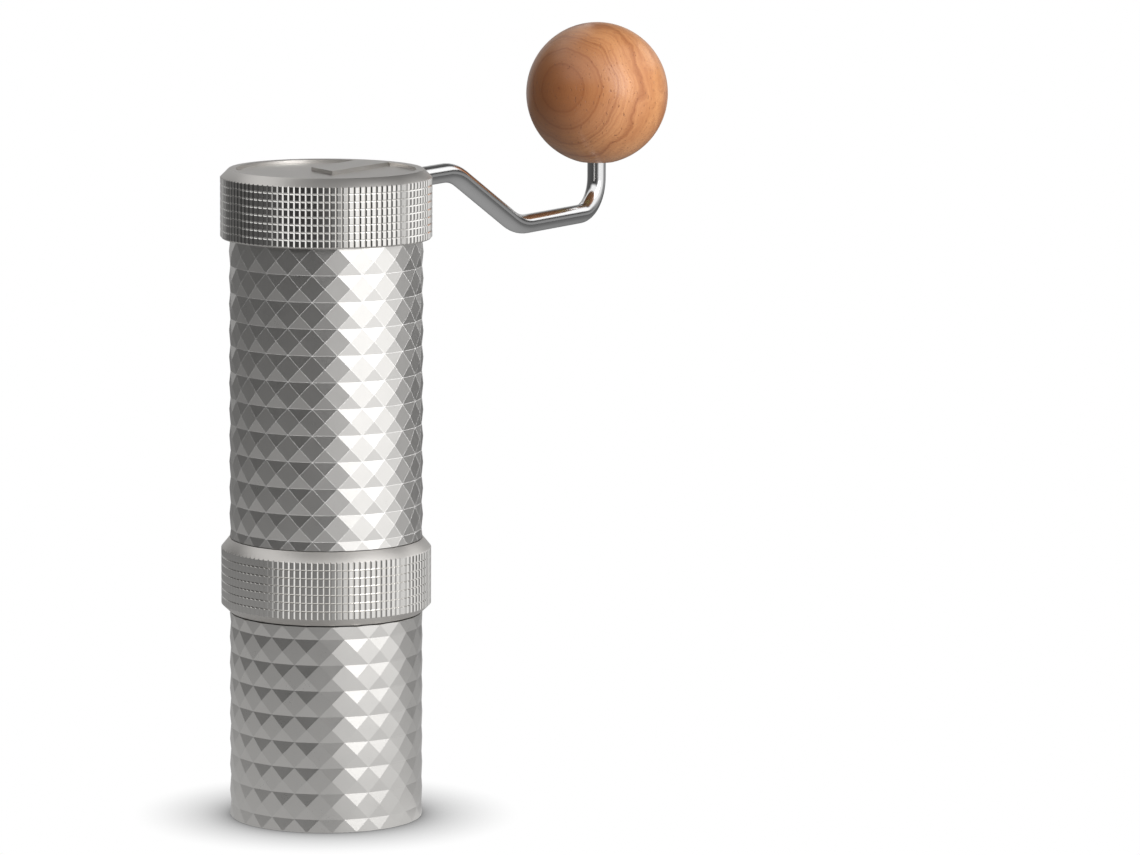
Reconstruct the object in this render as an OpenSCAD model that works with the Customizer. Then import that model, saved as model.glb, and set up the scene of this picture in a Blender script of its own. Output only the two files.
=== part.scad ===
// Hand crank coffee grinder: grounds cup, grind ring, hopper tube, and a lid that lifts off with
// its crank. Millimetres. Z is the drive shaft's axis, Z = 0 is the underside of the cup, and the
// crank arm points along +X.

/* [Faceted shells] */
// Radius of the facet peaks on the cup and on the hopper tube
facet_r = 25.25; // [25.2:0.05:25.4]
// Columns of facets round each shell
facet_count = 24; // [22:2:30]
// Rows of facets on the cup
cup_rows = 8; // [6:1:10]
// Turn of the cup's facets about Z, in degrees
cup_phase = 13.3; // [0:0.1:15]
// Turn of the hopper tube's facets about Z, in degrees
tube_phase = 9.2; // [0:0.1:15]

/* [Heights] */
// Height of the cup
cup_h = 54.1; // [54:0.05:54.15]
// Height of one row of facets on the hopper tube
tube_row_h = 6.9; // [6.6:0.1:7.2]
// Underside of the lid
lid_z = 152.4; // [152.4:0.1:152.8]
// Top of the lid
lid_top_z = 170.3; // [170.2:0.1:170.6]

/* [Knurled rings] */
// Radius over the knurl of the lid
lid_r = 27.5; // [27.3:0.1:28]
// Radius over the knurl of the grind ring
ring_r = 27.4; // [27.2:0.1:28]
// Depth of the grooves between rows of knurl pads
knurl_depth = 0.45; // [0.2:0.05:0.5]
// Width of the grooves between rows of knurl pads
knurl_gap = 0.55; // [0.4:0.05:0.7]

/* [Crank] */
// Distance from the shaft's axis to the knob's axis
crank_reach = 140.3; // [136:0.1:150]
// Diameter of the crank rod
rod_d = 5.2; // [5:0.1:5.3]
// Height of the rod where it leaves the lid
rod_z = 164; // [163.95:0.05:164.3]
// Height of the rod's lower stretch, before it rises to the knob
rod_low_z = 146.3; // [144:0.1:148]
// Where the rod starts to drop, from the shaft's axis
drop_start = 62.8; // [58:0.1:66]
// Where the rod has reached its lower stretch
drop_end = 96.9; // [94:0.1:100]
// Diameter of the wooden ball knob
knob_d = 39.5; // [39:0.1:42]
// Height of the ball's centre
knob_z = 179.3; // [178.5:0.1:180]

/* [Grinding set] */
// Outer diameter of the outer burr
burr_d = 38; // [37:0.5:38]
// Teeth round the mouth of the outer burr
outer_teeth = 20; // [16:1:24]
// Blades on the core burr
core_blades = 5; // [4:1:6]
// Diameter of the drive shaft
shaft_d = 8; // [7.9:0.05:8]

/* [Hidden] */
$fn = 96;

// Clearances
running = 0.05;

// Facets: a peak is halfway between two valleys, and valleys lie on the chord between peaks
facet_step = 360 / facet_count;
valley_r = facet_r * cos(facet_step / 2);

// Cup
cup_bore_r = 22.8;
cup_floor = 3;
cup_rim_r = 23.6;
cup_rim_h = 1.3;

// Neck of the lower frame, which the cup slides over
neck_z = 46;
neck_r = 22.4;
carrier_bore_r = 20.8;
cup_seal_z = 49.6;
cup_seal_r = 0.5;

// Grind ring
ring_z = 54.4;
ring_bottom_r = 25.2;
ring_knurl_z = 56.5;
ring_knurl_top_z = 71.1;
ring_top_z = 73.75;
ring_top_r = 25.3;
ring_rows = 7;
ring_lip_z = 56.95;
frame_r = 24;
shoulder_z = 57;
ring_circlip_z = 53.2;
ring_circlip_h = 1.1;
detent_z = 69.5;
detent_ball_r = 1;
detent_notches = 30;
detent_angles = [60, 240];
detent_floor_r = 21.3;

// Guide pins of the burr carrier, which the ring's inner groove raises and lowers
pin_z = 63.5;
pin_r = 2;
pin_end_r = 25.2;
pin_angles = [0, 120, 240];
carrier_travel = 0.8;
groove_half = pin_r + carrier_travel + 0.4;
groove_r = 25.55;

// Burr carrier and burrs
carrier_z = 48.2;
carrier_top_z = 67.5;
burr_r = burr_d / 2;
burr_z = 50;
burr_top_z = 66;
burr_waist_z = 57;
core_z = 50.5;
core_top_z = 67.5;
core_waist_z = 57.5;
retainer_z = 48.9;
retainer_h = 1.05;

// Hopper tube and the frame's spigot inside its lower end
tube_z = 73.95;
tube_first_peak_z = 72.8;
tube_half_rows = 23;
tube_facet_top_z = tube_first_peak_z + tube_half_rows * tube_row_h / 2;
tube_bore_r = 22.5;
spigot_r = 23.3;
spigot_top_z = 84;
spigot_bore_r = 22.3;
seat_z = 74;
flange_top_z = 86;
tube_neck_r = 24.6;
tube_neck_top_z = 160.5;
upper_seat_z = 143;
upper_bore_r = 23;
snap_z = 151;
snap_h = 1.1;
lid_seal_z = 158;
lid_seal_r = 0.6;

// Bearings and their brackets
bearing_r = 8;
bearing_h = 5;
race_t = 1.15;
ball_pitch_r = 6;
ball_r = 0.8;
ball_count = 11;
lower_bearing_z = 76;
upper_bearing_z = 146;
bracket_hub_r = 11;
bracket_arm_w = 5;
bracket_arm_angles = [90, 210, 330];
bearing_lip_r = 6.2;

// Drive shaft
shaft_r = shaft_d / 2;
shaft_z = 50.8;
collar_z = 74;
collar_r = 5.1;
hex_z = 153.4;
hex_top_z = 160.6;
hex_flats = 6;
shaft_clip_z = 151;
screw_r = 2.4;

// Lid, its hub and the crank rod
lid_bore_r = 24.9;
lid_rim_r = 23.3;
lid_chamfer = 2.2;
lid_recess = 1;
lid_floor = 2;
lid_rows = 8;
lid_inner_z = 161;
hub_bar_w = 10;
hub_bar_back = -9;
hub_bar_end_r = 23.2;
hub_bar_z = 161;
rib_back = [-5, 0.7];
hub_boss_r = 8;
hub_boss_z = 154.5;
lid_screw_y = 11;
lid_screw_head_z = 163;
hub_ear_z = 164.8;
set_screw_x = 14;
set_screw_z = 157.4;
rod_r = rod_d / 2;
rod_start = -7;
bend_r = 20;
rise_bend_r = 9.5;
bend_lap = 0.05;
bend_swell = 0.02;
rod_end_z = 187.5;

// Knob
knob_r = knob_d / 2;
knob_flat_z = 160;
bushing_r = 4.5;
bushing_top_z = 185.4;
knob_bore_top_z = 189;
knob_clip_z = 185.8;

shell_colour = [0.66, 0.65, 0.62];
steel_colour = [0.72, 0.72, 0.73];
dark_steel_colour = [0.5, 0.5, 0.52];
frame_colour = [0.45, 0.46, 0.48];
wood_colour = [0.80, 0.55, 0.33];
rubber_colour = [0.12, 0.12, 0.12];
bushing_colour = [0.78, 0.64, 0.32];

// ---------------------------------------------------------------- shared shapes

// Ring of facet corners: peaks stand half a step on from valleys
function facet_corners(z, peak, phase) =
  let (r = peak ? facet_r : valley_r, turn = peak ? 0.5 : 0)
  [for (i = [0:facet_count - 1])
    let (a = phase + (i + turn) * facet_step) [r * cos(a), r * sin(a), z]];

// Triangles between corner ring j and the next one up
function facet_band(j, lower_is_peak) =
  let (n = facet_count, a = j * n, b = (j + 1) * n)
  [for (i = [0:n - 1]) let (next = (i + 1) % n, last = (i + n - 1) % n)
    each lower_is_peak
      ? [[a + i, b + i, b + next], [a + last, b + i, a + i]]
      : [[a + i, b + i, a + next], [a + i, b + last, b + i]]];

// Solid column of diamond and triangle facets that starts at a level of peaks
module faceted_column(z, half_row_h, half_rows, phase) {
  top = half_rows * facet_count;
  corners = [for (j = [0:half_rows]) each facet_corners(z + j * half_row_h, j % 2 == 0, phase)];
  sides = [for (j = [0:half_rows - 1]) each facet_band(j, j % 2 == 0)];
  bottom_cap = [for (i = [0:facet_count - 1]) i];
  top_cap = [for (i = [facet_count - 1:-1:0]) top + i];
  polyhedron(corners, concat(sides, [bottom_cap, top_cap]), convexity = 4);
}

// Outline points, going up, of rows of knurl pads with plain grooves between them
function knurl_outline(r, z, top_z, rows) =
  let (pad = (top_z - z - (rows - 1) * knurl_gap) / rows, pitch = pad + knurl_gap)
  [for (k = [0:rows - 2]) let (g = z + k * pitch + pad) each [
    [r, g], [r - knurl_depth, g], [r - knurl_depth, g + knurl_gap], [r, g + knurl_gap]]];

module tube(inner_r, outer_r, z, h) {
  translate([0, 0, z])
    difference() {
      cylinder(r = outer_r, h = h);
      translate([0, 0, -1]) cylinder(r = inner_r, h = h + 2);
    }
}

module bore(r, z, h) {
  translate([0, 0, z]) cylinder(r = r, h = h);
}

// Open spring clip with a gap of the given angle
module open_clip(inner_r, outer_r, z, h, gap_angle) {
  difference() {
    tube(inner_r, outer_r, z, h);
    rotate([0, 0, -gap_angle / 2])
      translate([0, 0, z - 1])
        linear_extrude(h + 2)
          polygon([[0, 0], 2 * outer_r * [1, 0],
            2 * outer_r * [cos(gap_angle), sin(gap_angle)]]);
  }
}

module o_ring(centre_r, section_r, z) {
  translate([0, 0, z]) rotate_extrude() translate([centre_r, 0]) circle(r = section_r, $fn = 32);
}

// Helical wire spring along Z between two heights
module coil(mean_r, wire_r, z, top_z, turns, steps = 16, sides = 8) {
  rings = turns * steps;
  rise = (top_z - z - 2 * wire_r) / rings;
  points = [for (k = [0:rings]) for (s = [0:sides - 1])
    let (a = 360 * k / steps, t = 360 * s / sides, r = mean_r + wire_r * cos(t))
      [r * cos(a), r * sin(a), z + wire_r + k * rise + wire_r * sin(t)]];
  walls = [for (k = [0:rings - 1]) for (s = [0:sides - 1])
    let (n = (s + 1) % sides, a = k * sides, b = a + sides) each [
      [a + s, a + n, b + n], [a + s, b + n, b + s]]];
  ends = [[for (s = [sides - 1:-1:0]) s], [for (s = [0:sides - 1]) rings * sides + s]];
  polyhedron(points, concat(walls, ends), convexity = 8);
}

// Radial cylinder that starts at from_r and ends at to_r
module radial_rod(r, from_r, to_r, z, angle) {
  rotate([0, 0, angle]) translate([from_r, 0, z]) rotate([0, 90, 0])
    cylinder(r = r, h = to_r - from_r, $fn = 48);
}

// ---------------------------------------------------------------- cup

module cup_shell() {
  color(shell_colour)
    difference() {
      faceted_column(0, cup_h / cup_rows / 2, 2 * cup_rows, cup_phase);
      bore(cup_bore_r, cup_floor, cup_h);
      bore(cup_rim_r, cup_h - cup_rim_h, cup_h);
    }
}

module cup_seal() {
  color(rubber_colour) o_ring(cup_bore_r - running - cup_seal_r, cup_seal_r, cup_seal_z);
}

// ---------------------------------------------------------------- frame and grind ring

module lower_frame() {
  color(frame_colour)
    difference() {
      rotate_extrude()
        polygon([
          [carrier_bore_r, neck_z], [neck_r, neck_z],
          [neck_r, cup_seal_z - 0.6], [neck_r - 0.8, cup_seal_z - 0.6],
          [neck_r - 0.8, cup_seal_z + 0.6], [neck_r, cup_seal_z + 0.6],
          [neck_r, ring_circlip_z - 0.05], [neck_r - 0.8, ring_circlip_z - 0.05],
          [neck_r - 0.8, ring_circlip_z + ring_circlip_h + 0.05],
          [neck_r, ring_circlip_z + ring_circlip_h + 0.05],
          [neck_r, shoulder_z], [frame_r, shoulder_z], [frame_r, tube_z - 0.02],
          [spigot_r - 0.02, tube_z - 0.02], [spigot_r - 0.02, spigot_top_z],
          [spigot_bore_r, spigot_top_z], [spigot_bore_r, seat_z], [carrier_bore_r, seat_z]]);
      for (angle = pin_angles) guide_slot(angle);
      for (angle = detent_angles)
        radial_rod(detent_ball_r + running, detent_floor_r, frame_r + 1, detent_z, angle);
    }
}

// Upright slot that lets a guide pin pass through the frame's wall and slide
module guide_slot(angle) {
  slot_end = groove_half - pin_r;
  for (side = [-1, 1])
    radial_rod(pin_r + running, carrier_bore_r - 1, frame_r + 1, pin_z + side * slot_end, angle);
  rotate([0, 0, angle])
    translate([carrier_bore_r - 1, -pin_r - running, pin_z - slot_end])
      cube([frame_r - carrier_bore_r + 2, 2 * (pin_r + running), 2 * slot_end]);
}

module adjust_ring() {
  color(shell_colour)
    difference() {
      rotate_extrude()
        polygon(concat(
          [[neck_r + 0.2, ring_z], [ring_bottom_r, ring_z], [ring_r, ring_knurl_z]],
          knurl_outline(ring_r, ring_knurl_z, ring_knurl_top_z, ring_rows),
          [[ring_r, ring_knurl_top_z], [ring_top_r, ring_top_z],
            [frame_r + running, ring_top_z],
            [frame_r + running, pin_z + groove_half], [groove_r, pin_z + groove_half],
            [groove_r, pin_z - groove_half], [frame_r + running, pin_z - groove_half],
            [frame_r + running, ring_lip_z], [neck_r + 0.2, ring_lip_z]]));
      for (i = [0:detent_notches - 1])
        rotate([0, 0, i * 360 / detent_notches])
          translate([frame_r + 0.2, 0, detent_z - 1.2]) cylinder(r = 0.5, h = 2.4, $fn = 24);
    }
}

module ring_circlip() {
  color(dark_steel_colour)
    open_clip(neck_r - 0.75, neck_r + 0.8, ring_circlip_z, ring_circlip_h, 30);
}

module detent_balls() {
  color(steel_colour)
    for (angle = detent_angles)
      rotate([0, 0, angle])
        translate([frame_r - detent_ball_r, 0, detent_z]) sphere(r = detent_ball_r, $fn = 32);
}

module detent_springs() {
  spring_end_r = frame_r - 2 * detent_ball_r - 0.05;
  color(dark_steel_colour)
    for (angle = detent_angles)
      rotate([0, 0, angle])
        difference() {
          radial_rod(0.8, detent_floor_r + 0.02, spring_end_r, detent_z, 0);
          radial_rod(0.5, detent_floor_r - 1, spring_end_r + 1, detent_z, 0);
        }
}

// ---------------------------------------------------------------- carrier and outer burr

module burr_carrier() {
  color(frame_colour)
    difference() {
      rotate_extrude()
        polygon([
          [burr_r + 0.02, carrier_z], [carrier_bore_r - running, carrier_z],
          [carrier_bore_r - running, carrier_top_z], [burr_r - 2, carrier_top_z],
          [burr_r - 2, burr_top_z + 0.02], [burr_r + 0.02, burr_top_z + 0.02],
          [burr_r + 0.02, retainer_z + retainer_h], [burr_r + 0.8, retainer_z + retainer_h],
          [burr_r + 0.8, retainer_z], [burr_r + 0.02, retainer_z]]);
      for (angle = pin_angles) radial_rod(pin_r, burr_r - 1, carrier_bore_r + 1, pin_z, angle);
    }
}

module guide_pins() {
  color(steel_colour)
    for (angle = pin_angles) radial_rod(pin_r - 0.01, burr_r + 0.15, pin_end_r, pin_z, angle);
}

module outer_burr() {
  mouth_r = burr_r - 3.6;
  waist_r = burr_r - 5.8;
  foot_r = burr_r - 3.4;
  band_groove = 0.7;
  color(steel_colour)
    difference() {
      rotate_extrude()
        polygon([
          [foot_r, burr_z], [burr_r - 0.5, burr_z], [burr_r, burr_z + 0.5],
          [burr_r, burr_z + 4.4], [burr_r - band_groove, burr_z + 4.4],
          [burr_r - band_groove, burr_z + 5.4], [burr_r, burr_z + 5.4],
          [burr_r, burr_z + 10], [burr_r - band_groove, burr_z + 10],
          [burr_r - band_groove, burr_z + 11], [burr_r, burr_z + 11],
          [burr_r, burr_top_z - 1], [burr_r - 1, burr_top_z],
          [mouth_r, burr_top_z], [waist_r, burr_waist_z]]);
      translate([0, 0, burr_waist_z])
        linear_extrude(burr_top_z - burr_waist_z + 1)
          polygon(sawtooth_outline(outer_teeth, waist_r, mouth_r + 1.1));
    }
}

// Closed outline of saw teeth: each one rises slowly to outer_r and drops at once to inner_r
function sawtooth_outline(teeth, inner_r, outer_r) =
  [for (i = [0:teeth - 1]) each [
    inner_r * [cos(i * 360 / teeth), sin(i * 360 / teeth)],
    outer_r * [cos((i + 0.85) * 360 / teeth), sin((i + 0.85) * 360 / teeth)]]];

module burr_retaining_ring() {
  color(dark_steel_colour)
    open_clip(burr_r - 1.6, burr_r + 0.75, retainer_z + 0.02, retainer_h - 0.07, 30);
}

module preload_spring() {
  color(steel_colour) coil(19.4, 0.7, carrier_top_z + 0.05, seat_z - 0.05, 3, 24, 8);
}

// ---------------------------------------------------------------- hopper tube and brackets

module hopper_tube() {
  color(shell_colour)
    difference() {
      union() {
        faceted_column(tube_first_peak_z, tube_row_h / 2, tube_half_rows, tube_phase);
        bore(tube_neck_r, tube_facet_top_z - 1, tube_neck_top_z - tube_facet_top_z + 1);
      }
      bore(facet_r + 1, tube_first_peak_z - 1, tube_z - tube_first_peak_z + 1);
      bore(tube_bore_r, tube_z - 1, tube_neck_top_z);
      bore(spigot_r, tube_z - 1, flange_top_z - tube_z + 1);
      bore(upper_bore_r, upper_seat_z, tube_neck_top_z);
      bore(upper_bore_r + 0.6, snap_z, snap_h + 0.1);
      tube(tube_neck_r - 1, tube_neck_r + 1, lid_seal_z - 0.7, 1.4);
    }
}

// Round pocket for a bearing, with a lip under it and a groove for its clip
module bearing_pocket(z) {
  bore(bearing_lip_r, z - 2, 3);
  bore(bearing_r, z, bearing_h + 4);
  bore(bearing_r + 0.6, z + bearing_h, 1.05);
}

module bracket_arms(z, h, reach) {
  for (angle = bracket_arm_angles)
    rotate([0, 0, angle]) translate([bracket_hub_r - 2, -bracket_arm_w / 2, z])
      cube([reach - bracket_hub_r + 2, bracket_arm_w, h]);
}

module lower_bracket() {
  color(frame_colour)
    difference() {
      union() {
        rotate_extrude()
          polygon([
            [18.4, seat_z], [spigot_bore_r - 0.02, seat_z],
            [spigot_bore_r - 0.02, spigot_top_z + 0.02], [spigot_r - 0.02, spigot_top_z + 0.02],
            [spigot_r - 0.02, flange_top_z - 0.02], [21, flange_top_z - 0.02],
            [21, lower_bearing_z], [18.4, lower_bearing_z]]);
        bracket_arms(lower_bearing_z, 6, 21.5);
        bore(bracket_hub_r, lower_bearing_z - 1, bearing_h + 3);
      }
      bearing_pocket(lower_bearing_z);
    }
}

module upper_bracket() {
  color(frame_colour)
    difference() {
      union() {
        tube(21.2, upper_bore_r - 0.02, upper_seat_z + 0.02, snap_z - upper_seat_z - 0.04);
        bracket_arms(upper_seat_z + 2, 5, 22);
        bore(bracket_hub_r, upper_bearing_z - 1, bearing_h + 2.6);
      }
      bearing_pocket(upper_bearing_z);
    }
}

module bracket_snap_ring() {
  color(dark_steel_colour)
    open_clip(upper_bore_r - 1.4, upper_bore_r + 0.55, snap_z + 0.02, snap_h, 30);
}

module bearing_outer(z) {
  color(steel_colour) tube(bearing_r - race_t, bearing_r - 0.01, z + 0.01, bearing_h - 0.02);
}

module bearing_inner(z) {
  color(steel_colour) tube(shaft_r + 0.01, shaft_r + race_t, z + 0.01, bearing_h - 0.02);
}

module bearing_balls(z) {
  color(steel_colour)
    for (i = [0:ball_count - 1])
      rotate([0, 0, i * 360 / ball_count])
        translate([ball_pitch_r, 0, z + bearing_h / 2]) sphere(r = ball_r, $fn = 32);
}

module bearing_shields(z) {
  color(dark_steel_colour)
    for (shield_z = [z + 0.2, z + bearing_h - 0.6])
      tube(shaft_r + race_t + 0.15, bearing_r - race_t - 0.01, shield_z, 0.4);
}

module bearing_clip(z) {
  color(dark_steel_colour)
    open_clip(bearing_r - 1, bearing_r + 0.55, z + bearing_h + 0.02, 1, 40);
}

module lower_bearing_outer() { bearing_outer(lower_bearing_z); }
module lower_bearing_inner() { bearing_inner(lower_bearing_z); }
module lower_bearing_balls() { bearing_balls(lower_bearing_z); }
module lower_bearing_shields() { bearing_shields(lower_bearing_z); }
module lower_bearing_clip() { bearing_clip(lower_bearing_z); }
module upper_bearing_outer() { bearing_outer(upper_bearing_z); }
module upper_bearing_inner() { bearing_inner(upper_bearing_z); }
module upper_bearing_balls() { bearing_balls(upper_bearing_z); }
module upper_bearing_shields() { bearing_shields(upper_bearing_z); }
module upper_bearing_clip() { bearing_clip(upper_bearing_z); }

// ---------------------------------------------------------------- drive shaft and core burr

module hexagon_bar(flats, z, h) {
  translate([0, 0, z]) cylinder(r = flats / 2 / cos(30), h = h, $fn = 6);
}

module drive_shaft() {
  color(steel_colour)
    difference() {
      union() {
        bore(shaft_r, shaft_z, hex_z - shaft_z);
        bore(collar_r, collar_z, lower_bearing_z - collar_z);
        hexagon_bar(hex_flats, hex_z - 0.5, hex_top_z - hex_z + 0.5);
      }
      bore(screw_r, shaft_z - 1, 14);
      tube(shaft_r - 0.4, shaft_r + 1, shaft_clip_z, 1.05);
    }
}

module shaft_clip() {
  color(dark_steel_colour)
    open_clip(shaft_r - 0.35, shaft_r + 1.5, shaft_clip_z + 0.02, 1, 90);
}

module burr_spacer() {
  color(steel_colour)
    tube(shaft_r + 0.02, collar_r + 0.6, core_top_z + 0.01, collar_z - core_top_z - 0.02);
}

module core_burr() {
  hub_r = 6.2;
  waist_r = 12.4;
  foot_r = 14.8;
  blade_r = 12;
  crown_r = 8.3;
  color(steel_colour)
    difference() {
      union() {
        rotate_extrude()
          polygon([[0, core_z], [foot_r - 0.4, core_z], [foot_r, core_z + 0.4],
            [waist_r, core_waist_z], [hub_r, 63], [hub_r, core_top_z], [0, core_top_z]]);
        intersection() {
          rotate_extrude()
            polygon([[0, core_waist_z - 1], [blade_r, core_waist_z - 1], [blade_r, core_waist_z],
              [crown_r, core_top_z - 0.2], [0, core_top_z - 0.2]]);
          translate([0, 0, core_waist_z - 2])
            linear_extrude(core_top_z - core_waist_z + 4)
              polygon(sawtooth_outline(core_blades, hub_r - 1, waist_r + 1));
        }
      }
      bore(shaft_r + 0.02, core_z - 1, core_top_z);
    }
}

module burr_washer() {
  color(steel_colour) tube(screw_r + 0.1, 8, core_z - 0.81, 0.8);
}

module burr_screw() {
  head_z = core_z - 4.82;
  color(dark_steel_colour)
    difference() {
      union() {
        bore(4.25, head_z, 4);
        bore(screw_r - 0.02, head_z + 3, 14);
      }
      hexagon_bar(4, head_z - 1, 3.2);
    }
}

// ---------------------------------------------------------------- lid and crank

module lid_seal() {
  color(rubber_colour) o_ring(lid_bore_r - running - lid_seal_r, lid_seal_r, lid_seal_z);
}

// Raised rib along the arm, with a slanted inner end, that fills a slot in the lid
module rib(gap, z, h) {
  side = hub_bar_w / 2 + gap;
  intersection() {
    translate([0, 0, z])
      linear_extrude(h)
        polygon([[rib_back[0] - gap, -side], [lid_r, -side], [lid_r, side],
          [rib_back[1] - gap, side]]);
    bore(hub_bar_end_r + gap, z - 1, h + 2);
  }
}

module lid_cap() {
  knurl_top_z = lid_top_z - lid_chamfer;
  floor_z = lid_top_z - lid_recess;
  color(shell_colour)
    difference() {
      rotate_extrude()
        polygon(concat(
          [[lid_bore_r, lid_z], [lid_r - 0.4, lid_z], [lid_r, lid_z + 0.4]],
          knurl_outline(lid_r, lid_z + 0.4, knurl_top_z, lid_rows),
          [[lid_r, knurl_top_z], [lid_r - lid_chamfer, lid_top_z], [lid_rim_r, lid_top_z],
            [lid_rim_r, floor_z], [0, floor_z], [0, floor_z - lid_floor],
            [lid_rim_r, floor_z - lid_floor], [lid_rim_r, lid_inner_z],
            [lid_bore_r, lid_inner_z]]));
      rib(0.05, floor_z - lid_floor - 1, lid_floor + 2);
      translate([lid_rim_r - 2, 0, rod_z]) rotate([0, 90, 0]) cylinder(r = rod_r + 0.03, h = 8);
      for (side = [-1, 1])
        translate([0, side * lid_screw_y, floor_z - lid_floor - 1]) cylinder(r = 1.5, h = 2.3);
    }
}

module lid_hub() {
  ear_top_z = lid_top_z - lid_recess - lid_floor - 0.02;
  color(frame_colour)
    difference() {
      union() {
        intersection() {
          translate([hub_bar_back, -hub_bar_w / 2, hub_bar_z])
            cube([lid_r - hub_bar_back, hub_bar_w, ear_top_z - hub_bar_z]);
          bore(hub_bar_end_r, hub_bar_z - 1, lid_top_z - hub_bar_z);
        }
        rib(0, ear_top_z - 0.5, lid_top_z - ear_top_z + 0.5);
        bore(hub_boss_r, hub_boss_z, hub_bar_z - hub_boss_z + 2);
        for (side = [-1, 1])
          translate([0, side * lid_screw_y, hub_ear_z])
            cylinder(r = 4.2, h = ear_top_z - hub_ear_z);
        translate([-4.2, -lid_screw_y, hub_ear_z])
          cube([8.4, 2 * lid_screw_y, ear_top_z - hub_ear_z]);
        translate([set_screw_x, 0, set_screw_z]) cylinder(r = 3.6, h = hub_bar_z - set_screw_z + 1);
      }
      hexagon_bar(hex_flats + 2 * running, hub_boss_z - 1, hex_top_z - hub_boss_z + 1.2);
      translate([rod_start - 0.1, 0, rod_z]) rotate([0, 90, 0]) cylinder(r = rod_r + 0.02, h = 40);
      translate([set_screw_x, 0, set_screw_z - 1]) cylinder(r = 2, h = 6);
      for (side = [-1, 1])
        translate([0, side * lid_screw_y, hub_ear_z - 1]) cylinder(r = 1.6, h = 4);
    }
}

module lid_screws() {
  color(dark_steel_colour)
    for (side = [-1, 1])
      translate([0, side * lid_screw_y, 0])
        difference() {
          union() {
            bore(2.6, lid_screw_head_z, hub_ear_z - lid_screw_head_z - 0.01);
            bore(1.47, hub_ear_z - 0.5, 4);
          }
          hexagon_bar(2, lid_screw_head_z - 1, 2);
        }
}

module arm_set_screw() {
  top_z = rod_z - rod_r - 0.03;
  color(dark_steel_colour)
    translate([set_screw_x, 0, 0])
      difference() {
        bore(1.97, set_screw_z + 0.3, top_z - set_screw_z - 0.3);
        hexagon_bar(2, set_screw_z - 1, 3);
      }
}

// Straight length of rod between two [x, z] points, which reaches a little way into the bends
module rod_run(from, to) {
  run = to - from;
  translate([from[0], 0, from[1]]) rotate([0, atan2(run[0], run[1]), 0])
    translate([0, 0, -bend_lap]) cylinder(r = rod_r, h = norm(run) + 2 * bend_lap, $fn = 48);
}

// Bend about the [x, z] point centre, from an angle above +X and onwards through sweep
module rod_bend(centre, r, from_angle, sweep) {
  translate([centre[0], 0, centre[1]]) rotate([90, 0, 0]) rotate([0, 0, from_angle])
    rotate_extrude(angle = sweep) translate([r, 0]) circle(r = rod_r + bend_swell, $fn = 48);
}

module crank_arm() {
  fall = rod_z - rod_low_z;
  slope = atan2(fall, drop_end - drop_start);
  setback = bend_r * tan(slope / 2);
  down = [cos(slope), -sin(slope)];
  first_end = [drop_start - setback, rod_z];
  fall_start = [drop_start, rod_z] + setback * down;
  fall_end = [drop_end, rod_low_z] - setback * down;
  low_start = [drop_end + setback, rod_low_z];
  low_end = [crank_reach - rise_bend_r, rod_low_z];
  rise_start = [crank_reach, rod_low_z + rise_bend_r];
  color(steel_colour)
    difference() {
      union() {
        rod_run([rod_start, rod_z], first_end);
        rod_bend(first_end - [0, bend_r], bend_r, 90 - slope, slope);
        rod_run(fall_start, fall_end);
        rod_bend(low_start + [0, bend_r], bend_r, 270 - slope, slope);
        rod_run(low_start, low_end);
        rod_bend(low_end + [0, rise_bend_r], rise_bend_r, 270, 90);
        rod_run(rise_start, [crank_reach, rod_end_z]);
      }
      translate([crank_reach, 0, 0]) tube(rod_r - 0.4, rod_r + 1, knob_clip_z, 0.9);
    }
}

module knob_ball() {
  color(wood_colour)
    translate([crank_reach, 0, 0])
      difference() {
        translate([0, 0, knob_z]) sphere(r = knob_r);
        translate([-knob_r, -knob_r, knob_z - knob_r - 1])
          cube([2 * knob_r, 2 * knob_r, knob_flat_z - knob_z + knob_r + 1]);
        bore(bushing_r, knob_flat_z - 1, knob_bore_top_z - knob_flat_z + 1);
      }
}

module knob_bushing() {
  color(bushing_colour)
    translate([crank_reach, 0, 0])
      tube(rod_r + running, bushing_r - 0.01, knob_flat_z + 0.2, bushing_top_z - knob_flat_z - 0.2);
}

module knob_clip() {
  color(dark_steel_colour)
    translate([crank_reach, 0, 0]) open_clip(rod_r - 0.35, rod_r + 1.3, knob_clip_z + 0.02, 0.86, 90);
}

cup_shell();
cup_seal();
lower_frame();
adjust_ring();
ring_circlip();
detent_balls();
detent_springs();
burr_carrier();
guide_pins();
outer_burr();
burr_retaining_ring();
preload_spring();
hopper_tube();
lower_bracket();
upper_bracket();
bracket_snap_ring();
lower_bearing_outer();
lower_bearing_inner();
lower_bearing_balls();
lower_bearing_shields();
lower_bearing_clip();
upper_bearing_outer();
upper_bearing_inner();
upper_bearing_balls();
upper_bearing_shields();
upper_bearing_clip();
drive_shaft();
shaft_clip();
burr_spacer();
core_burr();
burr_washer();
burr_screw();
lid_seal();
lid_cap();
lid_hub();
lid_screws();
arm_set_screw();
crank_arm();
knob_ball();
knob_bushing();
knob_clip();
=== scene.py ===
"""Looks of the hand crank coffee grinder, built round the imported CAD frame.

Shapes are worked out in millimetres and turned into metres when a mesh is made.
"""
from math import atan2, ceil, cos, degrees, hypot, pi, radians, sin, sqrt, tan

import bmesh
import bpy
from mathutils import Matrix, Vector


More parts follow.
